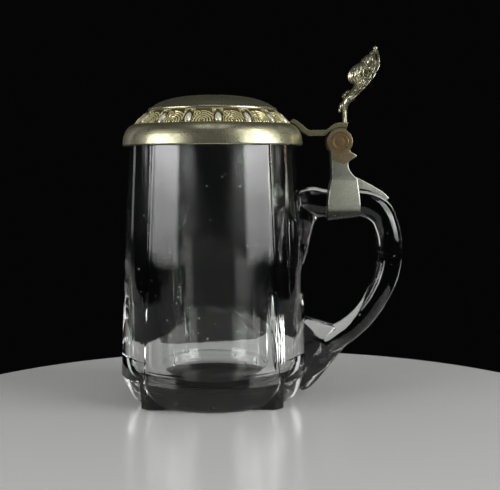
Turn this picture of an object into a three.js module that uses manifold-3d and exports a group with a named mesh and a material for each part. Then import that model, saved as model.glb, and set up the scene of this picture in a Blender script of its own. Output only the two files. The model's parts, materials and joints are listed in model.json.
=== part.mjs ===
import * as THREE from "three";
import { mergeVertices } from "three/addons/utils/BufferGeometryUtils.js";
import Module from "manifold-3d";

const wasm = await Module();
wasm.setup();

// Lidded glass stein. Millimetres, +Z up. The mug stands on z = 0 round the Z axis, its handle toward +X.

// Fits shared by every piece
const FIT_GAP = 0.3;
const ROUND_STEPS = 64;
const SMALL_STEPS = 24;

// Glass body
const BODY_HEIGHT = 147.2;
const RIM_RADIUS = 47.4;
const WALL_FLARE = 6.3;
const WALL_THICKNESS = 13.2;
const CREASE_HEIGHT = 14.5;
const FOOT_TUCK = 9.4;
const PLINTH_INSET = 14.7;
const BORE_FLOOR = 11;
const BORE_STEP_HEIGHT = 17.4;
const BORE_STEP = 0.6;
const BORE_DRAFT = 2.4;
const LIP_ROUNDING = 1.6;
const FOOT_RADIUS = RIM_RADIUS + WALL_FLARE;
const BASE_RADIUS = FOOT_RADIUS - FOOT_TUCK;
const PLINTH_HALF_SIDE = FOOT_RADIUS - PLINTH_INSET;
const BORE_RADIUS = RIM_RADIUS - WALL_THICKNESS;
const BORE_FOOT_RADIUS = BORE_RADIUS - BORE_DRAFT;

// Ribs on the four corners of the body
const RIB_COUNT = 4;
const RIB_TOP_PROUD = 1;
const RIB_FOOT_PROUD = 0.5;
const RIB_BASE_TUCK = 1.9;
const RIB_TOP_WIDTH = 6.8;
const RIB_FOOT_WIDTH = 4;
const RIB_DEPTH = 7;
const RIB_SHORT_OF_RIM = 1.4;
const RIB_TOP_RADIUS = RIM_RADIUS + RIB_TOP_PROUD;
const RIB_FOOT_RADIUS = FOOT_RADIUS + RIB_FOOT_PROUD;
const RIB_BASE_RADIUS = FOOT_RADIUS - RIB_BASE_TUCK;

// Hinge. Its axis lies out from the rim and a little below the top of the glass.
const HINGE_REACH = 24.6;
const HINGE_BELOW_RIM = 1.1;
const RING_RADIUS = 7.3;
const RING_COUNT = 5;
const RING_WIDTH = 2.8;
const PIN_RADIUS = 2.2;
const CAP_RADIUS = 5.2;
const CAP_THICKNESS = 0.8;
const HINGE_X = RIM_RADIUS + HINGE_REACH;
const HINGE_Z = BODY_HEIGHT - HINGE_BELOW_RIM;

// Glass handle
const HINGE_ABOVE_HANDLE = 35.1;
const HANDLE_FOOT_HEIGHT = 25.5;
const HANDLE_SIDES = 9;
const HANDLE_TOP_RADIUS = 8;
const HANDLE_GRIP_RADIUS = 7.1;
const UPPER_PAD_WIDTH = 15;
const LOWER_PAD_WIDTH = 17;
const PAD_ROUNDING = 2;
const HANDLE_TOP_HEIGHT = HINGE_Z - HINGE_ABOVE_HANDLE;

// Pewter lid. Its heights are counted from the face that rests on the glass.
const SEAT_HEIGHT = BODY_HEIGHT + FIT_GAP;
const LID_OVERHANG = 3.9;
const LID_SKIRT = 3.4;
const LID_LIP = 2.1;
const LID_WALL = 2.4;
const LID_RISE = 25.3;
const ROLL_WIDTH = 7.2;
const ROLL_RISE = 8.6;
const BAND_WIDTH = 7.7;
const BAND_RISE = 8.1;
const BEAD_RADIUS = 1.1;
const BEAD_OUTSIDE_DOME = 1.5;
const DOME_EDGE_RISE = 18.1;
const TONGUE_COUNT = 16;
const TONGUE_TURN = -4.5;
const TONGUE_HALF_WIDTH = 1.9;
const TONGUE_DEPTH = 1;
const SCROLL_RELIEF = 0.8;
const LID_RADIUS = RIM_RADIUS + LID_OVERHANG;
const LID_TOP = SEAT_HEIGHT + LID_RISE;
const LID_EDGE_HEIGHT = SEAT_HEIGHT - LID_SKIRT;
const BAND_FOOT = [LID_RADIUS - ROLL_WIDTH, SEAT_HEIGHT + ROLL_RISE];
const BAND_TOP = [BAND_FOOT[0] - BAND_WIDTH, BAND_FOOT[1] + BAND_RISE];
const DOME_RADIUS = BAND_TOP[0] - BEAD_OUTSIDE_DOME;
const DOME_EDGE_HEIGHT = SEAT_HEIGHT + DOME_EDGE_RISE;

// Lid arm, thumb lift and handle strap
const ARM_WIDTH = 11;
const ARM_ABOVE_RING = 3.6;
const ARM_LEVEL = 6.8;
const ARM_THICKNESS = 3.2;
const LIFT_PAST_HINGE = 0.4;
const LIFT_STEM_WIDTH = 7;
const LIFT_LOBES = 7;
const LIFT_FAN = 62;
const COLLAR_WALL = 1.5;
const TAIL_WIDTH = 7;

const RING_PITCH = RING_WIDTH + FIT_GAP;
const HINGE_WIDTH = RING_COUNT * RING_PITCH - FIT_GAP;
const ARM_TOP = HINGE_Z + RING_RADIUS + ARM_ABOVE_RING;

const glass = (tint) => new THREE.MeshStandardMaterial({ color: tint, roughness: 0.05, metalness: 0 });
const pewter = (tint) => new THREE.MeshStandardMaterial({ color: tint, roughness: 0.42, metalness: 0.9 });

function solidOf(geometry) {
  const bare = geometry.clone();
  bare.deleteAttribute("normal");
  bare.deleteAttribute("uv");
  const welded = mergeVertices(bare, 1e-3);
  const triVerts = new Uint32Array(welded.index.array);
  return new wasm.Manifold(new wasm.Mesh({ numProp: 3, vertProperties: welded.attributes.position.array, triVerts }));
}

function pieceOf(name, solid, material) {
  const mesh = solid.getMesh();
  const geometry = new THREE.BufferGeometry();
  geometry.setAttribute("position", new THREE.BufferAttribute(mesh.vertProperties, 3));
  geometry.setIndex(new THREE.BufferAttribute(mesh.triVerts, 1));
  geometry.computeVertexNormals();
  const piece = new THREE.Mesh(geometry, material);
  piece.name = name;
  return piece;
}

const union = (solids) => solids.reduce((joined, solid) => joined.add(solid));

// A solid turned round the Z axis from a profile of radius and height, drawn from the bottom up.
function turned(path, divisions = 8) {
  return solidOf(new THREE.LatheGeometry(path.getPoints(divisions), ROUND_STEPS).rotateX(Math.PI / 2));
}

// The same for a profile drawn from the top down.
function turnedFromTop(path, divisions = 8) {
  const points = path.getPoints(divisions).reverse();
  return solidOf(new THREE.LatheGeometry(points, ROUND_STEPS).rotateX(Math.PI / 2));
}

// A plate whose outline is drawn in X and Z, as thick as width along Y and centred on the handle's plane.
function sidePlate(outline, width, curveSegments = 8) {
  const geometry = new THREE.ExtrudeGeometry(outline, { depth: width, bevelEnabled: false, curveSegments });
  return solidOf(geometry.rotateX(Math.PI / 2).translate(0, width / 2, 0));
}

// A side plate with rounded edges, no larger than the outline.
function roundedSidePlate(outline, width, rounding, curveSegments = 8) {
  const geometry = new THREE.ExtrudeGeometry(outline, {
    depth: width - 2 * rounding,
    bevelSize: rounding,
    bevelThickness: rounding,
    bevelOffset: -rounding,
    bevelSegments: 3,
    curveSegments,
  });
  return solidOf(geometry.rotateX(Math.PI / 2).translate(0, width / 2 - rounding, 0));
}

// A block whose outline is drawn in Y and Z, running along X from one place to another.
function frontBlock(outline, fromX, toX, curveSegments = 8) {
  const geometry = new THREE.ExtrudeGeometry(outline, { depth: toX - fromX, bevelEnabled: false, curveSegments });
  const yzx = new THREE.Matrix4().makeBasis(
    new THREE.Vector3(0, 1, 0),
    new THREE.Vector3(0, 0, 1),
    new THREE.Vector3(1, 0, 0),
  );
  return solidOf(geometry.applyMatrix4(yzx).translate(fromX, 0, 0));
}

// A cylinder along Y on the hinge's axis.
function hingeCylinder(radius, fromY, toY, steps = SMALL_STEPS) {
  const geometry = new THREE.CylinderGeometry(radius, radius, toY - fromY, steps);
  return solidOf(geometry.translate(HINGE_X, (fromY + toY) / 2, HINGE_Z));
}

function ellipsoid(halfX, halfY, halfZ, steps = 16) {
  return new THREE.SphereGeometry(1, steps, steps / 2).scale(halfX, halfY, halfZ);
}

const outlineOf = (points) => new THREE.Shape(points.map(([x, y]) => new THREE.Vector2(x, y)));

// Outside of the round wall, from the curved foot chamfer up to the lip.
function wallPath(grow = 0) {
  const path = new THREE.Path();
  path.moveTo(0, -grow);
  path.lineTo(BASE_RADIUS + grow, -grow);
  path.bezierCurveTo(BASE_RADIUS + 5 + grow, 1.7, FOOT_RADIUS - 1.8 + grow, 8.8, FOOT_RADIUS + grow, CREASE_HEIGHT);
  path.lineTo(RIM_RADIUS + grow, BODY_HEIGHT - LIP_ROUNDING);
  path.quadraticCurveTo(RIM_RADIUS + grow, BODY_HEIGHT + grow, RIM_RADIUS - LIP_ROUNDING, BODY_HEIGHT + grow);
  path.lineTo(0, BODY_HEIGHT + grow);
  return path;
}

// Inside of the mug, narrowing a little toward its floor.
function boreSolid() {
  const path = new THREE.Path();
  path.moveTo(0, BORE_FLOOR);
  path.lineTo(BORE_FOOT_RADIUS - 12, BORE_FLOOR);
  path.quadraticCurveTo(BORE_FOOT_RADIUS - 1.5, BORE_FLOOR + 0.4, BORE_FOOT_RADIUS - BORE_STEP, BORE_STEP_HEIGHT);
  path.lineTo(BORE_FOOT_RADIUS, BORE_STEP_HEIGHT + BORE_STEP);
  path.lineTo(BORE_RADIUS, BODY_HEIGHT - LIP_ROUNDING);
  path.quadraticCurveTo(BORE_RADIUS, BODY_HEIGHT, BORE_RADIUS + LIP_ROUNDING, BODY_HEIGHT + 0.01);
  path.lineTo(BORE_RADIUS + LIP_ROUNDING, BODY_HEIGHT + 2);
  path.lineTo(0, BODY_HEIGHT + 2);
  return turned(path, 5);
}

// Square plinth under the round wall. Its corners are cut flat and lean in toward the base.
function plinthSolid() {
  const side = 2 * PLINTH_HALF_SIDE;
  const square = solidOf(new THREE.BoxGeometry(side, side, CREASE_HEIGHT).translate(0, 0, CREASE_HEIGHT / 2));
  const toCorner = Math.SQRT2;
  const cut = new THREE.CylinderGeometry(RIB_FOOT_RADIUS * toCorner, RIB_BASE_RADIUS * toCorner, CREASE_HEIGHT, 4);
  return square.intersect(solidOf(cut.rotateX(Math.PI / 2).translate(0, 0, CREASE_HEIGHT / 2)));
}

// One flat-faced rib that widens upward and leans in with the wall.
function ribSolid(turn) {
  const height = BODY_HEIGHT - RIB_SHORT_OF_RIM - CREASE_HEIGHT;
  const lean = Math.atan2(RIB_FOOT_RADIUS - RIB_TOP_RADIUS, height);
  const overrun = 0.5;
  const face = outlineOf([
    [-RIB_FOOT_WIDTH / 2, -overrun],
    [RIB_FOOT_WIDTH / 2, -overrun],
    [RIB_TOP_WIDTH / 2, height],
    [-RIB_TOP_WIDTH / 2, height],
  ]);
  const geometry = new THREE.ExtrudeGeometry(face, { depth: RIB_DEPTH, bevelEnabled: false });
  geometry.translate(0, 0, -RIB_DEPTH);
  geometry.rotateX(-lean);
  geometry.translate(0, CREASE_HEIGHT, RIB_FOOT_RADIUS);
  geometry.rotateX(Math.PI / 2);
  geometry.rotateZ(turn);
  return solidOf(geometry);
}

function bodySolid() {
  const ribs = [];
  for (let i = 0; i < RIB_COUNT; i++) {
    ribs.push(ribSolid(((i + 0.5) / RIB_COUNT) * 2 * Math.PI));
  }
  return union([turned(wallPath(), 5), plinthSolid(), ...ribs]).subtract(boreSolid());
}

// Centre line of the handle, from inside the upper pad round to the lower pad. Each point is a distance out
// from the hinge's axis and a share of the way up from the handle's foot to its top.
const handleLine = new THREE.CatmullRomCurve3(
  [
    [-18, 0.972],
    [-11, 0.993],
    [-1, 1],
    [11, 0.998],
    [22.1, 0.957],
    [27.6, 0.838],
    [29.7, 0.684],
    [27.9, 0.52],
    [22, 0.351],
    [12.5, 0.202],
    [1.5, 0.099],
    [-11, 0],
  ].map(([out, share]) => {
    const height = THREE.MathUtils.lerp(HANDLE_FOOT_HEIGHT, HANDLE_TOP_HEIGHT, share);
    return new THREE.Vector3(HINGE_X + out, 0, height);
  }),
);

// A round bar along the handle line, thicker under the strap than at the grip.
function handleBar(grow = 0) {
  const circle = new THREE.Shape().absarc(0, 0, 1, 0, 2 * Math.PI);
  const steps = 32;
  const bar = new THREE.ExtrudeGeometry(circle, { steps, extrudePath: handleLine, curveSegments: HANDLE_SIDES });
  const stations = handleLine.getSpacedPoints(steps);
  const radiusAt = (share) =>
    THREE.MathUtils.lerp(HANDLE_TOP_RADIUS, HANDLE_GRIP_RADIUS, THREE.MathUtils.smoothstep(share, 0.24, 0.5)) + grow;
  const position = bar.attributes.position;
  const point = new THREE.Vector3();
  for (let i = 0; i < position.count; i++) {
    point.fromBufferAttribute(position, i);
    const distances = stations.map((station) => station.distanceTo(point));
    const nearest = distances.indexOf(Math.min(...distances));
    point.sub(stations[nearest]).multiplyScalar(radiusAt(nearest / steps)).add(stations[nearest]);
    position.setXYZ(i, point.x, point.y, point.z);
  }
  return solidOf(bar);
}

// Pad drawn out on the wall where the handle starts, ending in a thin tail below. It is drawn from the point
// of the handle's top that lies under the hinge.
function upperPad() {
  const outline = new THREE.Shape();
  outline.moveTo(-29, 2);
  outline.quadraticCurveTo(-22, 9.6, -15, 9.8);
  outline.lineTo(-10, 8.8);
  outline.lineTo(-5, 8);
  outline.lineTo(-5, -8);
  outline.quadraticCurveTo(-14.5, -11.5, -17, -23);
  outline.quadraticCurveTo(-18, -32, -20.8, -36.8);
  outline.lineTo(-29, -36.8);
  return roundedSidePlate(outline, UPPER_PAD_WIDTH, PAD_ROUNDING).translate([HINGE_X, 0, HANDLE_TOP_HEIGHT]);
}

// Wedge pressed against the wall where the handle ends, cut to flat faces. It is drawn from the foot of the
// hinge's plumb line.
function lowerPad() {
  const outline = new THREE.Shape();
  outline.moveTo(-27, 46);
  outline.lineTo(-18.4, 44.6);
  outline.quadraticCurveTo(-14, 40.6, -5, 40.4);
  outline.lineTo(4.6, 29.4);
  outline.lineTo(-3.2, 21.2);
  outline.lineTo(-12.8, 8.2);
  outline.lineTo(-18, 3.3);
  outline.lineTo(-27, 3.4);
  const block = roundedSidePlate(outline, LOWER_PAD_WIDTH, 1.6);
  const faces = outlineOf([
    [-3, 2],
    [3, 2],
    [LOWER_PAD_WIDTH / 2, 26],
    [LOWER_PAD_WIDTH / 2, 50],
    [-LOWER_PAD_WIDTH / 2, 50],
    [-LOWER_PAD_WIDTH / 2, 26],
  ]);
  return block.intersect(frontBlock(faces, -33, 7)).translate([HINGE_X, 0, 0]);
}

function handleSolid() {
  const joined = union([handleBar(), upperPad(), lowerPad()]);
  return joined.subtract(turned(wallPath(FIT_GAP), 5));
}

// The lid's outside, from the crown over the bead and the ornament band to the lower edge.
function lidOutside(path, grow = 0) {
  const shoulder = LID_TOP - LID_WALL - 0.9 + grow;
  path.moveTo(0, LID_TOP + grow);
  path.bezierCurveTo(18, LID_TOP + grow, DOME_RADIUS - 6.4, shoulder, DOME_RADIUS + grow, DOME_EDGE_HEIGHT + grow);
  path.absarc(BAND_TOP[0] + grow, BAND_TOP[1] + BEAD_RADIUS, BEAD_RADIUS, Math.PI * 0.75, -Math.PI * 0.25, true);
  path.lineTo(BAND_FOOT[0] + grow, BAND_FOOT[1]);
  path.bezierCurveTo(
    LID_RADIUS - 3.4 + grow,
    BAND_FOOT[1] - 0.9 + grow,
    LID_RADIUS - 0.1 + grow,
    SEAT_HEIGHT + 4.7,
    LID_RADIUS + grow,
    LID_EDGE_HEIGHT + 0.7,
  );
}

function lidProfile() {
  const path = new THREE.Path();
  lidOutside(path);
  path.lineTo(LID_RADIUS - 0.7, LID_EDGE_HEIGHT);
  path.lineTo(LID_RADIUS - LID_LIP, LID_EDGE_HEIGHT);
  path.lineTo(LID_RADIUS - LID_LIP, SEAT_HEIGHT);
  path.lineTo(BAND_FOOT[0], SEAT_HEIGHT);
  path.quadraticCurveTo(BAND_FOOT[0] - 2, SEAT_HEIGHT + 1, BAND_FOOT[0] - LID_WALL, BAND_FOOT[1] - 1.4);
  path.lineTo(BAND_TOP[0] - LID_WALL, BAND_TOP[1] - 1.6);
  path.bezierCurveTo(DOME_RADIUS - 7.4, LID_TOP - LID_WALL - 3.3, 18, LID_TOP - LID_WALL, 0, LID_TOP - LID_WALL);
  return path;
}

// Places a flattened ball on the ornament band, level with its slope, at an angle round the lid.
function onBand(geometry, angle) {
  const slope = Math.atan2(BAND_TOP[1] - BAND_FOOT[1], BAND_FOOT[0] - BAND_TOP[0]);
  geometry.rotateY(slope);
  geometry.translate((BAND_TOP[0] + BAND_FOOT[0]) / 2 + 0.5, 0, (BAND_TOP[1] + BAND_FOOT[1]) / 2 + 0.5);
  return solidOf(geometry.rotateZ(angle));
}

function lidSolid() {
  const step = (2 * Math.PI) / TONGUE_COUNT;
  const start = THREE.MathUtils.degToRad(-90 - TONGUE_TURN);
  const hollows = [];
  const reliefs = [];
  for (let i = 0; i < TONGUE_COUNT; i++) {
    hollows.push(onBand(ellipsoid(4.2, TONGUE_HALF_WIDTH, TONGUE_DEPTH, 8), start + i * step));
    reliefs.push(onBand(ellipsoid(3.4, 4.2, SCROLL_RELIEF, 8), start + (i + 0.5) * step));
  }
  const lid = turnedFromTop(lidProfile(), 3);
  return union([lid, ...reliefs]).subtract(union(hollows));
}

// Start and end along Y of one ring of the hinge, counted from the front.
function ringSpan(index) {
  const from = -HINGE_WIDTH / 2 + index * RING_PITCH;
  return [from, from + RING_WIDTH];
}

const strapRings = [0, 2, 4].map(ringSpan);
const armRings = [1, 3].map(ringSpan);

// Arm soldered on the lid's rim roll. It runs level to the hinge and carries two of its rings.
function armSolid() {
  const levelTop = HINGE_Z + ARM_LEVEL;
  const outline = new THREE.Shape();
  outline.moveTo(LID_RADIUS - 8.2, SEAT_HEIGHT + 8.7);
  outline.quadraticCurveTo(LID_RADIUS - 7.2, SEAT_HEIGHT + 12.1, LID_RADIUS - 4.4, SEAT_HEIGHT + 11.5);
  outline.lineTo(LID_RADIUS + 3.2, levelTop);
  outline.lineTo(HINGE_X - 7.1, levelTop);
  outline.quadraticCurveTo(HINGE_X - 4.6, ARM_TOP - 0.7, HINGE_X - 0.6, ARM_TOP - 0.2);
  outline.lineTo(HINGE_X + 4.9, ARM_TOP);
  outline.lineTo(HINGE_X + 4.4, ARM_TOP - 2.6);
  outline.absarc(HINGE_X, HINGE_Z, RING_RADIUS + 1, Math.PI * 0.36, Math.PI * 0.83, false);
  outline.lineTo(HINGE_X - 8, levelTop - ARM_THICKNESS);
  outline.lineTo(LID_RADIUS + 2.4, levelTop - ARM_THICKNESS);
  outline.lineTo(LID_RADIUS - 3.3, SEAT_HEIGHT + 2.9);
  const strip = roundedSidePlate(outline, ARM_WIDTH, 0.4, 12);
  const path = new THREE.Path();
  lidOutside(path, FIT_GAP);
  path.lineTo(0, LID_EDGE_HEIGHT);
  const rings = armRings.map(([from, to]) => hingeCylinder(RING_RADIUS, from, to));
  const webs = armRings.map(([from, to]) =>
    sidePlate(outlineOf([[-4.6, 3.2], [4.2, 3.2], [4.2, 8.8], [-4.6, 8.8]]), to - from)
      .translate([HINGE_X, (from + to) / 2, HINGE_Z]));
  const bore = hingeCylinder(PIN_RADIUS + FIT_GAP, -HINGE_WIDTH, HINGE_WIDTH);
  return union([strip.subtract(turnedFromTop(path)), ...rings, ...webs]).subtract(bore);
}

// Outline of one lobe of the thumb lift's shell, drawn in Y and Z from the arm's top and fanned from its root.
function lobeOutline(angle, length, halfWidth) {
  const lobe = new THREE.Shape();
  const rootZ = 14.8;
  const middle = length * 0.62;
  lobe.absellipse(
    middle * Math.sin(angle),
    rootZ + middle * Math.cos(angle),
    halfWidth,
    length - middle,
    0,
    2 * Math.PI,
    false,
    -angle,
  );
  return lobe;
}

// Shell-shaped thumb lift: a curved back plate, raised lobes toward the lid and curled leaves on its stem.
// It is drawn from the point on the arm's top that lies over the hinge.
function liftSolid() {
  const back = new THREE.Shape();
  back.moveTo(2, FIT_GAP);
  back.lineTo(4.8, FIT_GAP);
  back.lineTo(5, 7.8);
  back.quadraticCurveTo(5.4, 11.4, 7.6, 12.6);
  back.quadraticCurveTo(22.4, 23.3, 22.6, 36.8);
  back.lineTo(22.2, 43.8);
  back.lineTo(20.9, 44.8);
  back.lineTo(19.6, 42.8);
  back.quadraticCurveTo(18.8, 28.3, 4.8, 16);
  back.quadraticCurveTo(1.4, 12.4, 2, 5.3);
  const relief = new THREE.Shape();
  relief.moveTo(9, 18.8);
  relief.quadraticCurveTo(21.5, 26.8, 21, 41.8);
  relief.lineTo(16, 40.2);
  relief.quadraticCurveTo(11.6, 39, 10, 35.4);
  relief.quadraticCurveTo(5, 31.2, 4.6, 26.2);
  relief.quadraticCurveTo(7.6, 24.6, 8, 21.4);
  const lobes = [];
  const ridges = [];
  for (let i = 0; i < LIFT_LOBES; i++) {
    const share = (2 * i) / (LIFT_LOBES - 1) - 1;
    const angle = THREE.MathUtils.degToRad(LIFT_FAN * share);
    const length = 30.2 - 17.5 * Math.abs(share);
    lobes.push(frontBlock(lobeOutline(angle, length, 3.2), -3, 25, 8));
    ridges.push(frontBlock(lobeOutline(angle, length - 2.4, 1.6), -3, 25, 6));
  }
  const stem = frontBlock(
    outlineOf([
      [-LIFT_STEM_WIDTH / 2, -7],
      [LIFT_STEM_WIDTH / 2, -7],
      [LIFT_STEM_WIDTH / 2, 24],
      [-LIFT_STEM_WIDTH / 2, 24],
    ]),
    -3,
    25,
  );
  const plate = sidePlate(back, 30, 14).intersect(union([stem, ...lobes]));
  const shell = sidePlate(relief, 30, 10).intersect(union(ridges));
  const curls = [
    ellipsoid(2.6, 5, 2.6, 12).translate(4.4, 0, 16.8),
    ellipsoid(1.5, 3.4, 3.4, 12).translate(1.2, 0, 9),
  ].map(solidOf);
  return union([plate, shell, ...curls]).translate([HINGE_X + LIFT_PAST_HINGE, 0, ARM_TOP]);
}

// Side view of the strap's tang and collar, with the stop spur behind the hinge. Like the strap's other
// outlines it is drawn from the point of the handle's top that lies under the hinge.
function strapOutline() {
  const axis = HINGE_ABOVE_HANDLE;
  const outline = new THREE.Shape();
  outline.moveTo(-6.7, -12);
  outline.lineTo(11.5, -12);
  outline.lineTo(11.7, -1.4);
  outline.lineTo(10.6, 14.6);
  outline.quadraticCurveTo(4.9, 17.8, 4.8, axis - 12.4);
  outline.lineTo(6.3, axis - 10.2);
  outline.lineTo(9.5, axis - 8.4);
  outline.lineTo(9.6, axis - 7.7);
  outline.lineTo(5.8, axis - 5.6);
  outline.lineTo(5.6, axis);
  outline.lineTo(-5.4, axis);
  outline.lineTo(-5, axis - 5.2);
  outline.quadraticCurveTo(-4.5, axis - 7.8, -4.4, axis - 12.8);
  outline.lineTo(-4.5, 14);
  outline.lineTo(-6.9, -3.8);
  return outline;
}

// Front view of the strap: a collar round the handle that closes into the flat tang above it.
function strapFront() {
  const half = HINGE_WIDTH / 2;
  const collar = HANDLE_TOP_RADIUS + FIT_GAP + COLLAR_WALL;
  const outline = new THREE.Shape();
  outline.absarc(0, -0.2, collar, -Math.PI, 0, false);
  outline.quadraticCurveTo(collar, 8, half, 13.2);
  outline.lineTo(half, HINGE_ABOVE_HANDLE);
  outline.lineTo(-half, HINGE_ABOVE_HANDLE);
  outline.lineTo(-half, 13.2);
  outline.quadraticCurveTo(-collar, 8, -collar, -0.2);
  return outline;
}

// Tail of the strap, lying over the handle's shoulder.
function strapTail() {
  const outline = new THREE.Shape();
  outline.moveTo(8.6, 15);
  outline.quadraticCurveTo(21, 10.6, 28.6, 3);
  outline.lineTo(27, 1.8);
  outline.quadraticCurveTo(20.5, 6.9, 11, 8.8);
  outline.lineTo(7, 8.8);
  outline.lineTo(7, 15);
  return roundedSidePlate(outline, TAIL_WIDTH, 0.8, 10);
}

function strapSolid() {
  const block = frontBlock(strapFront(), -7, 13, 14).intersect(sidePlate(strapOutline(), 40, 8));
  const strip = block.add(strapTail()).translate([HINGE_X, 0, HANDLE_TOP_HEIGHT]);
  const rings = strapRings.map(([from, to]) => hingeCylinder(RING_RADIUS, from, to));
  const slots = armRings.map(([from, to]) =>
    hingeCylinder(RING_RADIUS + FIT_GAP, from - FIT_GAP, to + FIT_GAP));
  const bore = hingeCylinder(PIN_RADIUS + FIT_GAP, -HINGE_WIDTH, HINGE_WIDTH);
  const half = HINGE_WIDTH / 2;
  const recess = CAP_THICKNESS + FIT_GAP;
  const front = hingeCylinder(CAP_RADIUS + FIT_GAP, -half - 1, -half + recess);
  const rear = hingeCylinder(CAP_RADIUS + FIT_GAP, half - recess, half + 1);
  return union([strip, ...rings])
    .subtract(union([handleBar(FIT_GAP), upperPadClearance(), bore, front, rear, ...slots]));
}

// Keeps the collar off the end of the upper pad.
function upperPadClearance() {
  const block = new THREE.BoxGeometry(4, UPPER_PAD_WIDTH + 2 * FIT_GAP, 18);
  return solidOf(block.translate(HINGE_X - 6.7, 0, HANDLE_TOP_HEIGHT));
}

function pinSolid() {
  const half = HINGE_WIDTH / 2 - CAP_THICKNESS - 2 * FIT_GAP;
  return hingeCylinder(PIN_RADIUS, -half, half);
}

function capSolid(side) {
  const half = HINGE_WIDTH / 2;
  const inner = half - CAP_THICKNESS;
  return side < 0 ? hingeCylinder(CAP_RADIUS, -half, -inner) : hingeCylinder(CAP_RADIUS, inner, half);
}

const stein = new THREE.Group();
stein.name = "lidded_stein";
stein.add(pieceOf("glass_body", bodySolid(), glass(0xdfe4e2)));
stein.add(pieceOf("glass_handle", handleSolid(), glass(0xd6dcda)));
stein.add(pieceOf("lid", lidSolid(), pewter(0x8f8d7c)));
stein.add(pieceOf("lid_arm", armSolid(), pewter(0x868472)));
stein.add(pieceOf("thumb_lift", liftSolid(), pewter(0x9a9782)));
stein.add(pieceOf("handle_strap", strapSolid(), pewter(0x7f807a)));
stein.add(pieceOf("hinge_pin", pinSolid(), pewter(0x6b6a66)));
stein.add(pieceOf("hinge_cap_front", capSolid(-1), pewter(0x806a5c)));
stein.add(pieceOf("hinge_cap_rear", capSolid(1), pewter(0x806a5c)));

export default stein;
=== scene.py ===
import json
from math import atan2, copysign, cos, degrees, floor, hypot, pi, radians, sin, sqrt

import bmesh
import bpy
from mathutils import Matrix, Vector, noise
from mathutils.geometry import interpolate_bezier

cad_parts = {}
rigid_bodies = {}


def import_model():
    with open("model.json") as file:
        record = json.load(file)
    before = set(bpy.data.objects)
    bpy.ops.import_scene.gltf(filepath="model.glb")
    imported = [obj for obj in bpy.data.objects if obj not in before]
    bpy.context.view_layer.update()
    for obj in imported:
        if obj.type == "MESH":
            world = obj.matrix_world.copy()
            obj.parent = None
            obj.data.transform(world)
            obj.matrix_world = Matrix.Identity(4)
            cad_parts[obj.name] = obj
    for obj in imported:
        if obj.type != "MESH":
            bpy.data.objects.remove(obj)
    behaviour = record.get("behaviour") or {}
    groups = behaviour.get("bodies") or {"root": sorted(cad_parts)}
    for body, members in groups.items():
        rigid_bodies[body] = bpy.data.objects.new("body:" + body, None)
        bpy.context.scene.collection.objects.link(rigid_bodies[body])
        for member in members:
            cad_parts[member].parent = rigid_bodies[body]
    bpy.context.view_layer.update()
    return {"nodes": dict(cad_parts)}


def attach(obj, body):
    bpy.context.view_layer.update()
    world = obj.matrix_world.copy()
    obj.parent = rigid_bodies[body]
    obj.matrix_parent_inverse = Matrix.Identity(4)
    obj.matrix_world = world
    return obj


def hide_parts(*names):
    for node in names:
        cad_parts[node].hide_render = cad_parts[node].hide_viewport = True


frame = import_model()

scene = bpy.context.scene

# Shapes are worked out in millimetres and scaled to metres when a piece is finished.
# An outline is a row of pairs, a distance from the axis or X, and then a height.
MM = 0.001

# Points nearer to each other than this become one.
SAME_POINT = 1e-3

# Hinge, shared by the arm, the strap and the two end faces
HINGE_X = 72.0
HINGE_Z = 146.1
RING_RADIUS = 7.3
RING_WIDTH = 2.8
RING_GAP = 0.3
RING_COUNT = 5
ARM_RINGS = (1, 3)
STRAP_RINGS = (0, 2, 4)
PIN_HOLE_RADIUS = 2.5
CAP_RADIUS = 5.2
HINGE_WIDTH = RING_COUNT * (RING_WIDTH + RING_GAP) - RING_GAP
HINGE_HALF = HINGE_WIDTH / 2


def between(start, end, share):
    """The value a share of the way from start to end."""
    return start + (end - start) * share


def eased(share):
    """Smooth step from 0 to 1."""
    share = min(max(share, 0.0), 1.0)
    return share * share * (3 - 2 * share)


def rounded_max(a, b, rounding):
    """The larger of two heights, with the crease between them rounded."""
    overlap = max(rounding - abs(a - b), 0) / rounding
    return max(a, b) + overlap * overlap * rounding / 4


def ripple(turns):
    """A wave between 0 and 1 that is highest at each whole number of turns."""
    return 0.5 + 0.5 * cos(2 * pi * turns)


def bent(start, leaving, arriving, end, count):
    """Points on a curve that leaves its start toward one point and arrives from another."""
    corners = [(*corner, 0) for corner in (start, leaving, arriving, end)]
    return [(point.x, point.y) for point in interpolate_bezier(*corners, count)]


def flowing(points, steps=4):
    """A smooth line through points, as a list of points."""
    line = []
    ends = [points[0], *points, points[-1]]
    for before, start, end, after in zip(ends, ends[1:], ends[2:], ends[3:]):
        a, b, c, d = (Vector(point) for point in (before, start, end, after))
        for i in range(steps):
            t = i / steps
            straight = 2 * b + (c - a) * t
            squared = (2 * a - 5 * b + 4 * c - d) * t * t
            cubed = (3 * b - a - 3 * c + d) * t * t * t
            line.append(tuple(0.5 * (straight + squared + cubed)))
    line.append(tuple(points[-1]))
    return line


# Mesh helpers


def placed(name, data):
    """A new object in the scene."""
    obj = bpy.data.objects.new(name, data)
    scene.collection.objects.link(obj)
    return obj


def mesh_of(bm, name):
    """Turns a bmesh into a mesh."""
    mesh = bpy.data.meshes.new(name)
    bm.to_mesh(mesh)
    bm.free()
    return mesh


def holder(bm):
    """Puts a bmesh into a helper object."""
    return placed("helper", mesh_of(bm, "helper"))


def drop(obj):
    """Removes a helper object and its data."""
    bpy.data.batch_remove((obj, obj.data))


def baked(obj, *helpers):
    """The evaluated shape of an object as a bmesh. The object and helpers are removed."""
    shaped = obj.evaluated_get(bpy.context.evaluated_depsgraph_get())
    mesh = bpy.data.meshes.new_from_object(shaped)
    bm = bmesh.new()
    bm.from_mesh(mesh)
    bpy.data.meshes.remove(mesh)
    for helper in (obj, *helpers):
        drop(helper)
    return bm


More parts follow.
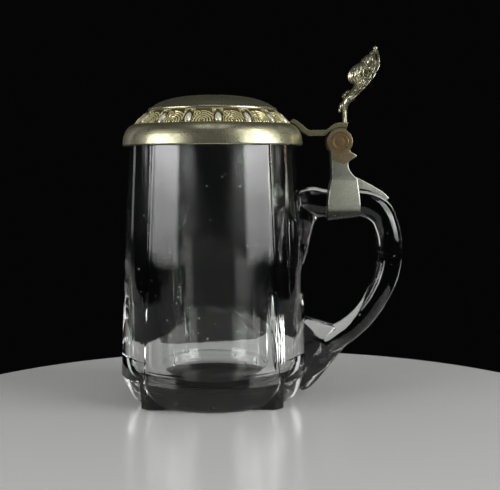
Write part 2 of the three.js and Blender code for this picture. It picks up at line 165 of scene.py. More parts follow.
def together(*solids):
    """Puts several shells in one bmesh without joining them."""
    whole = bmesh.new()
    for solid in solids:
        mesh = mesh_of(solid, "part")
        whole.from_mesh(mesh)
        bpy.data.meshes.remove(mesh)
    return whole


def combined(base, added, cut=()):
    """Joins solids onto a closed solid and then cuts others out of it, one after another."""
    obj = holder(base)
    tools = []
    steps = [("UNION", solid) for solid in added] + [("DIFFERENCE", solid) for solid in cut]
    for operation, solid in steps:
        tool = holder(solid)
        modifier = obj.modifiers.new(operation.lower(), "BOOLEAN")
        modifier.operation = operation
        modifier.solver = "EXACT"
        modifier.object = tool
        tools.append(tool)
    return baked(obj, *tools)


def melted(solid, voxel, passes):
    """Fuses overlapping shells into one smooth cast skin."""
    obj = holder(solid)
    skin = obj.modifiers.new("skin", "REMESH")
    skin.mode = "VOXEL"
    skin.voxel_size = voxel
    soft = obj.modifiers.new("soft", "SMOOTH")
    soft.factor = 0.5
    soft.iterations = passes
    return baked(obj)


def new_points(result):
    """The points that a bmesh operator made."""
    return [item for item in result["geom"] if isinstance(item, bmesh.types.BMVert)]


def spun(profile, steps, axis=(0, 0, 1), centre=(0, 0, 0)):
    """A closed shell turned round an axis: an eighth of it, then its copies."""
    bm = bmesh.new()
    chain = [bm.verts.new(point) for point in profile]
    for first, second in zip(chain, chain[1:]):
        bm.edges.new((first, second))
    eighth = pi / 4
    turned = {"cent": centre, "axis": axis, "angle": eighth, "steps": steps // 8}
    bmesh.ops.spin(bm, geom=bm.verts[:] + bm.edges[:], use_merge=False, **turned)
    for eighths in (1, 2, 4):
        copied = bmesh.ops.duplicate(bm, geom=bm.verts[:] + bm.edges[:] + bm.faces[:])
        turn = Matrix.Rotation(eighth * eighths, 3, Vector(axis))
        bmesh.ops.rotate(bm, verts=new_points(copied), cent=centre, matrix=turn)
    bmesh.ops.remove_doubles(bm, verts=bm.verts, dist=SAME_POINT)
    bmesh.ops.recalc_face_normals(bm, faces=bm.faces)
    return bm


def spun_on_hinge(outline, steps):
    """A shell turned round the hinge's axis from radii and places along Y."""
    profile = [(HINGE_X + out, along, HINGE_Z) for out, along in outline]
    return spun(profile, steps, (0, 1, 0), (HINGE_X, 0, HINGE_Z))


def ring(radius, start, end, rounding=0.25, steps=72):
    """A disc on the hinge's axis, between two places along Y, with rounded rims."""
    nick = 0.3 * rounding
    rim = [(0, 0), (radius - rounding, 0), (radius - nick, nick), (radius, rounding)]
    outline = [(out, start + inward) for out, inward in rim]
    outline += [(out, end - inward) for out, inward in reversed(rim)]
    return spun_on_hinge(outline, steps)


def bevelled(bm, edges, size, segments=3):
    """Rounds edges of a bmesh."""
    shape = {"offset": size, "segments": segments, "profile": 0.5, "clamp_overlap": True}
    bmesh.ops.bevel(bm, geom=edges, offset_type="OFFSET", affect="EDGES", material=-1, **shape)


def lies_across(edge, way):
    """Whether an edge runs across a direction rather than along it."""
    run = (edge.verts[0].co - edge.verts[1].co).normalized()
    return abs(run.dot(way)) < 0.5


def prism(outline, along, rounding, segments=3):
    """A plate pushed along a vector from its outline, with rounded edges."""
    along = Vector(along)
    bm = bmesh.new()
    face = bm.faces.new([bm.verts.new(point) for point in outline])
    pushed = bmesh.ops.extrude_face_region(bm, geom=[face], use_keep_orig=True)
    bmesh.ops.translate(bm, verts=new_points(pushed), vec=along)
    bmesh.ops.recalc_face_normals(bm, faces=bm.faces)
    if rounding:
        way = along.normalized()
        bevelled(bm, [edge for edge in bm.edges if lies_across(edge, way)], rounding, segments)
    bmesh.ops.triangulate(bm, faces=[face for face in bm.faces if len(face.verts) > 4])
    return bm


def side_plate(outline, width, rounding, segments=3):
    """A plate drawn in X and Z, centred on the handle's plane."""
    points = [(x, -width / 2, z) for x, z in outline]
    return prism(points, (0, width, 0), rounding, segments)


def tube(stations, sides=8, steps=10):
    """A round bar through stations of X, Y, Z and radius, closed at both ends."""
    curve = bpy.data.curves.new("bar", "CURVE")
    curve.dimensions = "3D"
    curve.bevel_depth = 1
    curve.bevel_resolution = sides
    curve.resolution_u = steps
    curve.use_fill_caps = True
    spline = curve.splines.new("BEZIER")
    spline.bezier_points.add(len(stations) - 1)
    for point, (x, y, z, radius) in zip(spline.bezier_points, stations):
        point.co = (x, y, z)
        point.radius = radius
        point.handle_left_type = point.handle_right_type = "AUTO"
    bm = baked(placed("bar", curve))
    bmesh.ops.remove_doubles(bm, verts=bm.verts, dist=SAME_POINT)
    bmesh.ops.recalc_face_normals(bm, faces=bm.faces)
    return bm


def ball(centre, halves, turn=0.0, detail=24):
    """A stretched ball, turned about Y in degrees."""
    bm = bmesh.new()
    bmesh.ops.create_uvsphere(bm, u_segments=detail, v_segments=detail // 2, radius=1)
    bmesh.ops.scale(bm, vec=halves, verts=bm.verts)
    bmesh.ops.rotate(bm, verts=bm.verts, matrix=Matrix.Rotation(radians(turn), 3, "Y"))
    bmesh.ops.translate(bm, verts=bm.verts, vec=centre)
    return bm


def finished(name, bm, finish, body, slot, *nodes, sharp=32):
    """Makes a piece from a bmesh, gives it its finish and puts it on its body."""
    bmesh.ops.scale(bm, vec=(MM, MM, MM), verts=bm.verts)
    mesh = mesh_of(bm, name)
    mesh.shade_smooth()
    mesh.set_sharp_from_angle(angle=radians(sharp))
    mesh.materials.append(finish)
    piece = placed(name, mesh)
    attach(piece, body)
    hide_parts(*nodes)


# Glass mug

BODY_HEIGHT = 147.2
BODY_STEPS = 360
RIM_RADIUS = 47.4
FOOT_RADIUS = 53.7
BASE_RADIUS = 44.3
BASE_SHARES = (0, 0.15, 0.3, 0.45, 0.6, 0.75, 0.9, 0.97)
BASE_ROUNDING = 0.5
BASE_FLAT_MARGIN = 1.3

# Foot, which leans out to a crease where the wall begins
CREASE_HEIGHT = 14.5
FOOT_BEND = ((49.2, 1.7), (51.2, 8.8))
FOOT_POINTS = 36
PLINTH_HALF_SIDE = 39.0
PLINTH_ROUNDING = 0.5
WALL_ROWS = 36

# Lip, as distances in from the rim or out from the bore, and down from the top
LIP_ROUNDING = 1.6
OUTER_LIP = ((0.12, 1.1), (0.5, 0.45), (LIP_ROUNDING, 0))
LIP_FLAT_RADII = (43, 39)
INNER_LIP = ((LIP_ROUNDING, 0), (0.5, 0.45), (0.1, 1.2))

# Bore, which narrows down to a step and a floor with a dip
BORE_TOP_RADIUS = 34.2
BORE_RADIUS = 31.8
BORE_START_DOWN = 3
BORE_STEP_HEIGHT = 17.4
BORE_STEP_ROUNDING = 0.7
BORE_FLOOR = 11.0
BORE_DIP = 0.2
BORE_DIP_RADII = (17, 12, 8, 4, 0)
BORE_ROWS = 24
BORE_CORNER_POINTS = 14

# Ribs: half width of the flat face, and its distance from the axis
RIB_END = 145.5
RIB_TOP = (3.4, 48.5)
RIB_FOOT = (1.8, 54.2)
RIB_BASE = (3.35, 51.8)
RIB_EDGE_DROP = 0.08
RIB_ROOT_FILLET = 0.1

# Columns of the turned mesh, counted in degrees from a rib's middle
FLAT_COLUMN, EDGE_COLUMN, ROOT_COLUMN, WALL_COLUMN, SIDE_COLUMN = 7, 8, 9, 10, 45
# How far past the edge of the rib's flat face they lie
PAST_RIB_EDGE = {FLAT_COLUMN: -0.4, EDGE_COLUMN: -0.06, ROOT_COLUMN: 0.22, WALL_COLUMN: 0.7}

# Points nearer to the bore than this belong to it or to the lip.
BORE_MARGIN = 8
ON_BASE = 1e-6


def plain_radius(height):
    """Radius of the round wall above the crease, without its ribs."""
    share = (height - CREASE_HEIGHT) / (BODY_HEIGHT - CREASE_HEIGHT)
    return between(FOOT_RADIUS, RIM_RADIUS, share)


def bore_outline():
    """Outline of the bore from under the lip to the middle of its floor."""
    top, low = BODY_HEIGHT - BORE_START_DOWN, BORE_STEP_HEIGHT + BORE_STEP_ROUNDING
    line = []
    for row in range(BORE_ROWS + 1):
        share = row / BORE_ROWS
        line.append((between(BORE_TOP_RADIUS, BORE_RADIUS, share), between(top, low, share)))
    line += bent(
        (BORE_RADIUS - 0.6, BORE_STEP_HEIGHT),
        (BORE_RADIUS - 1.3, BORE_FLOOR + 2.6),
        (BORE_RADIUS - 4.6, BORE_FLOOR + 0.4),
        (BORE_RADIUS - 11, BORE_FLOOR),
        BORE_CORNER_POINTS,
    )
    return line + [(radius, BORE_FLOOR - BORE_DIP) for radius in BORE_DIP_RADII]


def body_profile():
    """Outline of the body from the middle of its base round the lip to the bore."""
    line = [(BASE_RADIUS * share, 0) for share in BASE_SHARES]
    line += bent((BASE_RADIUS, 0), *FOOT_BEND, (FOOT_RADIUS, CREASE_HEIGHT), FOOT_POINTS)
    rows = [CREASE_HEIGHT + 0.5, CREASE_HEIGHT + 1.6]
    low, high = CREASE_HEIGHT + 4, RIB_END - 1.5
    rows += [between(low, high, row / WALL_ROWS) for row in range(WALL_ROWS + 1)]
    rows += [RIB_END - 0.3, RIB_END]
    line += [(plain_radius(height), height) for height in rows]
    line += [(RIM_RADIUS - inward, BODY_HEIGHT - down) for inward, down in OUTER_LIP]
    line += [(radius, BODY_HEIGHT) for radius in LIP_FLAT_RADII]
    line += [(BORE_TOP_RADIUS + outward, BODY_HEIGHT - down) for outward, down in INNER_LIP]
    line += bore_outline()
    return [(radius, 0, height) for radius, height in line]


def rib_at(height):
    """Half width of a rib's flat face, and its distance from the axis, at a height."""
    low, high, share = RIB_BASE, RIB_FOOT, height / CREASE_HEIGHT
    if height >= CREASE_HEIGHT:
        low, high = RIB_FOOT, RIB_TOP
        share = (height - CREASE_HEIGHT) / (RIB_END - CREASE_HEIGHT)
    return [between(start, end, share) for start, end in zip(low, high)]


def column_angle(column, half, face):
    """Angle from the rib's middle at which a column of the mesh lies."""
    if column <= FLAT_COLUMN:
        return atan2((half + PAST_RIB_EDGE[FLAT_COLUMN]) * column / FLAT_COLUMN, face)
    if column < WALL_COLUMN:
        return atan2(half + PAST_RIB_EDGE[column], face)
    near = atan2(half + PAST_RIB_EDGE[WALL_COLUMN], face)
    return between(near, pi / 4, (column - WALL_COLUMN) / (SIDE_COLUMN - WALL_COLUMN))


def outer_radius(column, angle, height, plain):
    """Radius of the outside at an angle from the nearest rib's middle."""
    _, face = rib_at(height)
    flat = face / cos(angle)
    if height > RIB_END - 0.1:
        return plain
    if column <= FLAT_COLUMN:
        return max(flat, plain)
    if height < CREASE_HEIGHT:
        side = PLINTH_HALF_SIDE / cos(pi / 4 - angle)
        if column == EDGE_COLUMN:
            side = min(side, flat)
        return rounded_max(plain, side, PLINTH_ROUNDING)
    if column == EDGE_COLUMN:
        return max(flat - RIB_EDGE_DROP, plain)
    return plain + (RIB_ROOT_FILLET if column == ROOT_COLUMN else 0)


def base_radius(column, angle, share):
    """Radius on the face that the mug stands on, a share of the way out to its edge."""
    edge = outer_radius(column, angle, 0, BASE_RADIUS)
    if share > 0.99:
        return edge - BASE_ROUNDING
    if share > 0.95:
        return edge - BASE_FLAT_MARGIN
    return share * edge


def shape_outside(bm):
    """Moves the turned outside onto the ribs, the plinth and its corner feet."""
    for vert in bm.verts:
        x, y, height = vert.co
        plain = hypot(x, y)
        on_base = height < ON_BASE
        in_bore = plain < BORE_RADIUS + BORE_MARGIN and not on_base
        if plain < ON_BASE or in_bore or height > RIB_END + 0.1:
            continue
        way = degrees(atan2(y, x))
        rib = floor(way / 90) * 90 + 45
        column = round(abs(way - rib) * BODY_STEPS / 360)
        angle = column_angle(column, *rib_at(height))
        if on_base:
            radius = base_radius(column, angle, plain / BASE_RADIUS)
        else:
            radius = outer_radius(column, angle, height, plain)
        turn = radians(rib) + copysign(angle, way - rib)
        vert.co = (radius * cos(turn), radius * sin(turn), height)


# Bar of the handle: X, Y, Z and radius
HANDLE_LINE = (
    (50, 0, 110.6, 6.6), (56.4, 0, 112.4, 8.3), (62.4, 0, 111.3, 8.2), (71, 0, 111, 8.0),
    (83, 0, 111.2, 7.6), (94.2, 0, 107.4, 7.9), (99.6, 0, 97.4, 7.4), (101.5, 0, 84.5, 7.2),
    (99.9, 0, 70.7, 7.1), (95.2, 0, 59.2, 6.9), (87.5, 0, 47.3, 6.6), (80.9, 0, 40.6, 6.7),
    (73.2, 0, 35.2, 7.2), (64, 0, 30.2, 8.0), (54, 0, 28, 8.4),
)

# Glass that runs down the wall from the handle's upper root
TAIL_LINE = (
    (52, 0, 110, 6.4), (53.0, 0, 102, 6.2), (52.8, 0, 95, 4.2), (52.0, 0, 88, 2.9),
    (51.6, 0, 82, 2.4), (51.2, 0, 77.4, 1.4), (51.0, 0, 75.4, 0.6),
)

# Corners of the handle's faceted lower end, on one side
WEDGE_CORNERS = (
    (46, 7.6, 46.4), (53.6, 6.0, 45.0), (51.7, 8.0, 41.0), (61.5, 7.6, 39.9), (58.5, 8.9, 34.3),
    (69.4, 5.6, 40.4), (60.2, 9.0, 31.3), (74.7, 3.4, 27.6), (77.0, 2.4, 30.4),
    (66.6, 4.6, 19.6), (63.4, 6.2, 18.4), (69.2, 1.2, 21.4), (59.8, 1.0, 8.4), (55.1, 0.8, 3.9),
    (51.7, 2.6, 2.9), (52.1, 6.4, 9.3), (51.4, 8.4, 24.0), (46, 8.4, 26.0), (46, 2.6, 3.4),
)


def wedge():
    """Faceted end of the handle, pressed against the wall."""
    bm = bmesh.new()
    for x, y, z in WEDGE_CORNERS:
        bm.verts.new((x, y, z))
        bm.verts.new((x, -y, z))
    bmesh.ops.convex_hull(bm, input=bm.verts)
    loose = [vert for vert in bm.verts if not vert.link_faces]
    bmesh.ops.delete(bm, geom=loose, context="VERTS")
    nearly_flat = radians(4)
    bmesh.ops.dissolve_limit(bm, angle_limit=nearly_flat, verts=bm.verts, edges=bm.edges)
    bevelled(bm, bm.edges[:], size=0.35, segments=2)
    bmesh.ops.triangulate(bm, faces=bm.faces)
    bmesh.ops.recalc_face_normals(bm, faces=bm.faces)
    return bm


def glass_mug():
    """Body and handle, one piece of glass, without slivers where they meet."""
    body = spun(body_profile(), BODY_STEPS)
    shape_outside(body)
    grip = melted(together(tube(HANDLE_LINE), tube(TAIL_LINE)), voxel=0.75, passes=10)
    mug = combined(body, [grip, wedge()])
    bmesh.ops.remove_doubles(mug, verts=mug.verts, dist=3 * SAME_POINT)
    bmesh.ops.triangulate(mug, faces=mug.faces)
    bmesh.ops.dissolve_degenerate(mug, dist=SAME_POINT, edges=mug.edges)
    return mug


# Lid

LID_STEPS = 768
CROWN_CURVE = ((0, 172.8), (19, 172.8), (29.4, 170.3), (34.7, 165.9))
BEAD = (
    (35.3, 165.7), (35.9, 165.5), (36.4, 165.1), (36.65, 164.6), (36.6, 164.25),
    (36.55, 164.05),
)
BAND_TOP = Vector((36.5, 163.9))
BAND_FOOT = Vector((44.3, 156.0))
BAND_ROWS = 34
LEDGE = ((44.7, 156.25), (45.3, 156.15))
ROLL_CURVE = ((45.8, 155.9), (48.6, 154.6), (51.0, 151.6), (51.25, 144.9))
RIM_EDGE = (
    (51.25, 144.5), (50.9, 144.2), (50.3, 144.1), (49.6, 144.15), (49.35, 144.5),
    (49.35, 147.5),
)
SEAT = ((47.4, 147.5), (44.3, 147.6), (42.9, 149), (41.8, 153.6), (37.8, 158.3), (33.9, 161.9))
INSIDE_CURVE = ((33.9, 161.9), (28, 167.4), (17, 170.4), (0, 170.4))

# Ornament of the band, across it and up it. Its grime is 1 where dirt fills the metal, 0 on
# plain metal, and below 0 on the drops, which are rubbed bright and carry a painted highlight.

# Tongues: arched grooves with a thin raised rim and a plump drop low down
TONGUES = 16
TONGUE_TURN = radians(-90 + 6.2)
TONGUE_HALF_WIDTH = 2.6
TONGUE_LOW = 0.4
TONGUE_ARCH = 7.4
TONGUE_RIM_HEIGHT, TONGUE_RIM_WIDTH = 0.35, 0.6
TONGUE_REACH = 2.9
GROOVE_DEPTH, GROOVE_SLOPE = 0.75, 0.7
DROP_HEIGHT = 1.7
DROP_MIDDLE = 3.3
DROP_HALF_WIDTH, DROP_BELOW, DROP_ABOVE = 1.95, 3.2, 4.6
DROP_EDGE = 0.3
RIM_GRIME, GROOVE_GRIME, DROP_EDGE_GRIME, DROP_POLISH_AND_HIGHLIGHT_LEVEL = 0.2, 0.95, 0.9, -0.3

# Fields between the tongues, with arcs beside a curl
FIELD_RADIUS = 41
FIELD_HALF_WIDTH, FIELD_FADE = 5.3, 0.6
FIELD_HEIGHT, LINE_HEIGHT, LINE_RUB = 0.1, 0.55, 0.75
ARCS_ACROSS, ARCS_UP, ARCS_SPACING, ARCS_REACH, ARCS_FADE = -0.4, 1.2, 1.4, 8.6, 1.5
CURL_ACROSS, CURL_UP, CURL_SPACING, CURL_REACH, CURL_FADE = -3.0, 6.4, 1.3, 2.9, 0.8

# Both die away near the band's top and foot.
RELIEF_FADE, GRIME_FADE = 0.7, 0.35


def lid_profile():
    """Outline of the lid from its crown over the band and the rim to its inside."""
    line = bent(*CROWN_CURVE, count=20)
    line += BEAD
    line += [tuple(BAND_TOP.lerp(BAND_FOOT, row / BAND_ROWS)) for row in range(BAND_ROWS + 1)]
    line += LEDGE
    line += bent(*ROLL_CURVE, count=16)
    line += RIM_EDGE
    line += SEAT
    line += bent(*INSIDE_CURVE, count=14)[1:]
    return [(radius, 0, height) for radius, height in line]


def tongue_relief(across, up):
    """Height and grime of a tongue at a place in its own cell."""
    if up > TONGUE_ARCH:
        off = hypot(across, up - TONGUE_ARCH) - TONGUE_HALF_WIDTH
    else:
        off = max(abs(across) - TONGUE_HALF_WIDTH, TONGUE_LOW - up)
    if off >= 0:
        return TONGUE_RIM_HEIGHT * eased(1 - off / TONGUE_RIM_WIDTH), RIM_GRIME
    bed = -GROOVE_DEPTH * eased(-off / GROOVE_SLOPE)
    half = DROP_BELOW if up < DROP_MIDDLE else DROP_ABOVE
    inward = 1 - (across / DROP_HALF_WIDTH) ** 2 - ((up - DROP_MIDDLE) / half) ** 2
    if inward <= 0:
        return bed, GROOVE_GRIME
    # The drop's middle is rubbed bright and carries a painted highlight; its edge holds dirt.
    grime = between(DROP_POLISH_AND_HIGHLIGHT_LEVEL, DROP_EDGE_GRIME, eased(1 - inward / DROP_EDGE))
    return bed + DROP_HEIGHT * sqrt(inward), grime


def scroll_relief(across, up):
    """Height and grime of a field at a place counted from its own middle."""
    from_arcs = hypot(across - ARCS_ACROSS, up - ARCS_UP)
    curl_x, curl_z = across - CURL_ACROSS, up - CURL_UP
    from_curl = hypot(curl_x, curl_z)
    turn = atan2(curl_z, curl_x) / (2 * pi)
    arcs = ripple(from_arcs / ARCS_SPACING) * eased((ARCS_REACH - from_arcs) / ARCS_FADE)
    curl = ripple(from_curl / CURL_SPACING - turn)
    line = between(arcs, curl, eased((CURL_REACH - from_curl) / CURL_FADE))
    kept = eased((FIELD_HALF_WIDTH - abs(across)) / FIELD_FADE)
    return (FIELD_HEIGHT + LINE_HEIGHT * line) * kept, 1 - LINE_RUB * line * kept


def inside_band(up, length, fade):
    """1 on the band, and less toward its top and foot."""
    return eased(up / fade) * eased((length - up) / fade)


def band_relief(angle, up, length):
    """Height and grime of the ornament at an angle round the lid and a distance up the band."""
    cell = 2 * pi / TONGUES
    turned = (angle - TONGUE_TURN) / cell
    radius = between(BAND_FOOT.x, BAND_TOP.x, up / length)
    from_tongue = (turned - round(turned)) * cell * radius
    from_field = (turned - floor(turned) - 0.5) * cell * FIELD_RADIUS
    relief, grime = tongue_relief(from_tongue, up)
    if abs(from_tongue) > TONGUE_REACH:
        field, grime = scroll_relief(from_field, up)
        relief = max(relief, field)
    relief *= inside_band(up, length, RELIEF_FADE)
    return relief, grime * inside_band(up, length, GRIME_FADE)


def lid_shell():
    """Lid with its ornament in relief, and the grime in it kept at each point."""
    bm = spun(lid_profile(), LID_STEPS)
    slope = BAND_FOOT - BAND_TOP
    length = slope.length
    slope.normalize()
    out = Vector((-slope.y, slope.x))
    grimy = bm.verts.layers.float.new("grime")
    for vert in bm.verts:
        radius = hypot(vert.co.x, vert.co.y)
        from_foot = Vector((radius, vert.co.z)) - BAND_FOOT
        up = -from_foot.dot(slope)
        off_band = abs(from_foot.dot(out)) > 0.02
        if off_band or not 0.01 < up < length - 0.01:
            continue
        angle = atan2(vert.co.y, vert.co.x)
        relief, vert[grimy] = band_relief(angle, up, length)
        grown = (radius + out.x * relief) / radius
        vert.co = (vert.co.x * grown, vert.co.y * grown, vert.co.z + out.y * relief)
    return bm


# Arm

ARM_WIDTH = 11
ARM_ROUNDING = 0.45
ARM_NOSE = (
    (43.7, 157.3), (44.4, 158.2), (45.8, 159.0), (47.7, 158.2), (50.8, 155.7), (54.2, 153.1),
)
ARM_DIP = (55.2, 152.8)
ARM_BACK = ((64.7, 152.9), (66.8, 154.7), (69.0, 156.2), (71.2, 156.8), (73.7, 157.0))
ARM_END = (76.8, 157.0)
ARM_UNDER = ((76.3, 154.3), (71.8, 154.4), (67.6, 153.0), (65.2, 150.9), (64.0, 149.7))
ARM_FOOT = ((54.2, 149.7), (52.0, 151.2), (50.3, 152.4), (48.2, 154.8), (45.8, 156.7))
ARM_WEB = ((66.9, 148.6), (76.0, 148.6), (76.0, 155.4), (66.9, 153.2))


def ring_span(index):
    """Where a ring of the hinge starts and ends along Y."""
    start = -HINGE_HALF + index * (RING_WIDTH + RING_GAP)
    return start, start + RING_WIDTH


def pin_hole():
    """The hole for the hinge's pin, longer than the hinge."""
    return ring(PIN_HOLE_RADIUS, -HINGE_WIDTH, HINGE_WIDTH, rounding=0.2, steps=32)


def arm_shell():
    """Arm from the rolled rim to the hinge, with two of the hinge's rings."""
    outline = [*flowing(ARM_NOSE), ARM_DIP, *flowing(ARM_BACK), ARM_END]
    outline += flowing(ARM_UNDER) + flowing(ARM_FOOT)
    strip = side_plate(outline, ARM_WIDTH, ARM_ROUNDING)
    added = []
    for index in ARM_RINGS:
        start, end = ring_span(index)
        web = side_plate(ARM_WEB, RING_WIDTH, rounding=0)
        bmesh.ops.translate(web, verts=web.verts, vec=(0, (start + end) / 2, 0))
        added += [ring(RING_RADIUS, start, end), web]
    return combined(strip, added, [pin_hole()])


# Strap

STRAP_ROUNDING = 0.5
STRAP_LEFT = ((66.6, 142.8), (67.2, 140.6), (67.35, 138), (67.5, 132.2), (67.6, 123.6))
STRAP_FOOT = ((68.2, 120), (82.2, 120))
STRAP_RIGHT = (
    (82.2, 125.0), (79.2, 127.8), (77.3, 130.9), (76.9, 133.7), (78.3, 135.8), (81.3, 137.6),
)
STRAP_SPUR = ((81.7, 138.1), (81.0, 138.9), (78.0, 140.5), (77.6, 144.5), (66.6, 144.5))
STRAP_OUTER_STEP = 0.15
TAIL_WIDTH = 7
TAIL_ROUNDING = 0.8
TAIL_TOP = (
    (79.5, 127.0), (82.8, 125.6), (88.1, 122.8), (94.5, 119.2), (98, 116.7), (100.5, 114.2),
)
TAIL_UNDER = ((99.2, 113.0), (94.5, 116.2), (88.2, 118.8), (84, 119.4), (79.5, 119.4))

# The collar, which leans inward as it rises
COLLAR_X = 65.1
COLLAR_LENGTH = 18.6
COLLAR_Z = 110.8
COLLAR_RADIUS = 9.6
COLLAR_ROUNDING = 0.8
COLLAR_ARC_STEPS = 32
COLLAR_SHOULDER = (
    (COLLAR_RADIUS, COLLAR_Z), (COLLAR_RADIUS, 115.4), (8.8, 120.6), (HINGE_HALF + 0.1, 124.6),
)
LEAN_FROM_Z = 109
LEAN_HEIGHT = 16
LEAN_LEFT, LEAN_LEFT_CURVE = 2.4, 1.6
LEAN_RIGHT, LEAN_RIGHT_CURVE = 1.7, 1.3
CHIN_RISE, CHIN_START, CHIN_SPAN = 1.8, 0.45, 0.55

# Room that is cut for the pieces that sit in the strap
SLOT_ROOM = RING_GAP + 0.03
BAR_ROOM = 0.25
BAR_IN_COLLAR = HANDLE_LINE[1:8]
CAP_ROOM = 0.08
CAP_RECESS = 0.9
CAP_CLEARANCE = 2


def collar():
    """Band round the handle that narrows upward into the strap."""
    outline = []
    for i in range(COLLAR_ARC_STEPS + 1):
        angle = pi + pi * i / COLLAR_ARC_STEPS
        outline.append((COLLAR_RADIUS * cos(angle), COLLAR_Z + COLLAR_RADIUS * sin(angle)))
    right = flowing(COLLAR_SHOULDER, steps=5)[1:]
    outline += right + [(-y, z) for y, z in reversed(right)]
    points = [(COLLAR_X, y, z) for y, z in outline]
    band = prism(points, (COLLAR_LENGTH, 0, 0), COLLAR_ROUNDING, segments=4)
    for vert in band.verts:
        x, _, z = vert.co
        share = (x - COLLAR_X) / COLLAR_LENGTH
        above = max(z - LEAN_FROM_Z, 0) / LEAN_HEIGHT
        left = (1 - share) * LEAN_LEFT * above**LEAN_LEFT_CURVE
        vert.co.x += left - share * LEAN_RIGHT * above**LEAN_RIGHT_CURVE
        below = min(max(COLLAR_Z - z, 0) / COLLAR_RADIUS, 1)
        vert.co.z += CHIN_RISE * eased((share - CHIN_START) / CHIN_SPAN) * below
    return band


def strap_shell():
    """Strap with its collar, stop spur, tail and three of the hinge's rings."""
    outline = [*flowing(STRAP_LEFT), *STRAP_FOOT, *flowing(STRAP_RIGHT), *STRAP_SPUR]
    tang = side_plate(outline, HINGE_WIDTH, STRAP_ROUNDING)
    tail_outline = flowing(TAIL_TOP) + flowing(TAIL_UNDER)
    tail = side_plate(tail_outline, TAIL_WIDTH, TAIL_ROUNDING, segments=4)
    added = [collar(), tail]
    for index in STRAP_RINGS:
        start, end = ring_span(index)
        start -= STRAP_OUTER_STEP if index == STRAP_RINGS[0] else 0
        end += STRAP_OUTER_STEP if index == STRAP_RINGS[-1] else 0
        added.append(ring(RING_RADIUS, start, end))
    cut = []
    for index in ARM_RINGS:
        start, end = ring_span(index)
        start, end = start - SLOT_ROOM, end + SLOT_ROOM
        cut.append(ring(RING_RADIUS + RING_GAP, start, end, rounding=0.01))
    bar = tube([(x, y, z, radius + BAR_ROOM) for x, y, z, radius in BAR_IN_COLLAR])
    cut += [bar, pin_hole()]
    front = (-HINGE_HALF - CAP_CLEARANCE, -HINGE_HALF + CAP_RECESS)
    rear = (HINGE_HALF - CAP_RECESS, HINGE_HALF + CAP_CLEARANCE)
    for start, end in (front, rear):
        cut.append(ring(CAP_RADIUS + CAP_ROOM, start, end, rounding=0.05))
    return combined(tang, added, cut)


# End faces of the hinge, as radii and depths below the strap's side

CAP_OUTLINE = (
    (0, 0.02), (1.2, 0.04), (2.4, 0.1), (2.75, 0.2), (3.0, 0.22), (3.3, 0.1), (4.5, 0.04),
    (4.9, 0.08), (CAP_RADIUS - 0.02, 0.25), (CAP_RADIUS, 0.4), (CAP_RADIUS, 0.85), (0, 0.85),
)


def cap_shell(side):
    """End face of the hinge, stepped and slightly domed. Side -1 is the front."""
    outline = [(out, side * (HINGE_HALF - deep)) for out, deep in CAP_OUTLINE]
    return spun_on_hinge(outline, steps=72)


# Thumb lift

# Fan, the lobed plate at the back, which spreads from a point
FAN_LOBES = 9
FAN_LOBE_DEPTH = 0.6
FAN_LOBE_STEPS = 12
FAN_HALF_ANGLE = radians(74)
FAN_POINT_Z = 171.5
FAN_REACH, FAN_NARROWING, FAN_CURVE = 26.6, 12.7, 1.25
FAN_FOOT = ((7.0, 172.4), (3.2, 169.0), (-3.2, 169.0), (-7.0, 172.4))
FAN_MESH_EDGE = 2

# Side view of the back, as Z and X
BACK_STATIONS = (
    (156, 77.4), (164.9, 77.3), (168.4, 77.9), (171.8, 82.4), (175.6, 86.1), (181, 90.6),
    (187.8, 94.3), (195.8, 94.6), (203, 93.4),
)

# Stem: X, Y, Z and radius before it is widened
STEM_LINE = (
    (76, 0, 156.6, 1.4), (76.0, 0, 160, 1.3), (75.8, 0, 164, 1.45), (76.4, 0, 168, 2.1),
    (79.0, 0, 171.6, 2.5), (82.4, 0, 175.2, 2.6), (85.6, 0, 179.4, 2.6), (89.4, 0, 186, 2.4),
    (92.0, 0, 193, 2.0),
)
STEM_WIDENING = 2.1

# Fluted cups: centre, half sizes, turn about Y, number of flutes and their depth
CUPS = (
    ((85.0, 0, 185.0), (8.2, 8.2, 5.6), -32, 20, 0.24),
    ((89.2, 0, 191.2), (5.3, 5.6, 3.7), -38, 14, 0.22),
)

# Bulge, tip, leaves and knobs: centre, half sizes and turn
SWELLINGS = (
    ((91.8, 0, 195.4), (2.0, 2.6, 2.2), -30),
    ((93.2, 0, 198.9), (1.4, 1.5, 1.45), 0),
    ((76.2, 0, 173.2), (3.0, 4.8, 0.95), -49),
    ((80.2, 0, 170.8), (2.6, 3.2, 1.3), -42),
    ((73.7, 0, 166.3), (1.0, 2.4, 2.4), 14),
    ((72.9, 0, 163.8), (0.75, 1.5, 1.3), 0),
)

# Beads along the fan's edges, on one side
EDGE_BEADS = ((83.2, 5.2, 175.6, 1.7), (86.9, 9.2, 181.0, 1.8), (89.6, 9.6, 187, 1.7))
BEAD_FLATNESS = 0.8

# Curled leaf on each side
LEAF_X, LEAF_Y, LEAF_Z = 86.0, 8.0, 180.0
LEAF_POINTS = 14
LEAF_START, LEAF_SWEEP = -60, 430
LEAF_REACH, LEAF_WINDING = 3.0, 0.8
LEAF_LEAN = 1.4
LEAF_RADIUS, LEAF_THINNING = 0.8, 0.3

# Unevenness of the cast surface: scale of the noise and its height
CAST_SHIFT = -0.6
CAST_FROM_Z = 165
CAST_NOISE = ((0.55, 0.14), (1.4, 0.06))


def fan_outline(share, scale):
    """Y and Z on the lobed edge of the fan, from one side at -1 to the other at 1."""
    angle = FAN_HALF_ANGLE * share
    lobe = FAN_LOBE_DEPTH * abs(cos(pi * FAN_LOBES * share / 2 + pi / 2))
    reach = scale * (FAN_REACH - FAN_NARROWING * abs(share) ** FAN_CURVE + lobe)
    return reach * sin(angle), FAN_POINT_Z + reach * cos(angle)


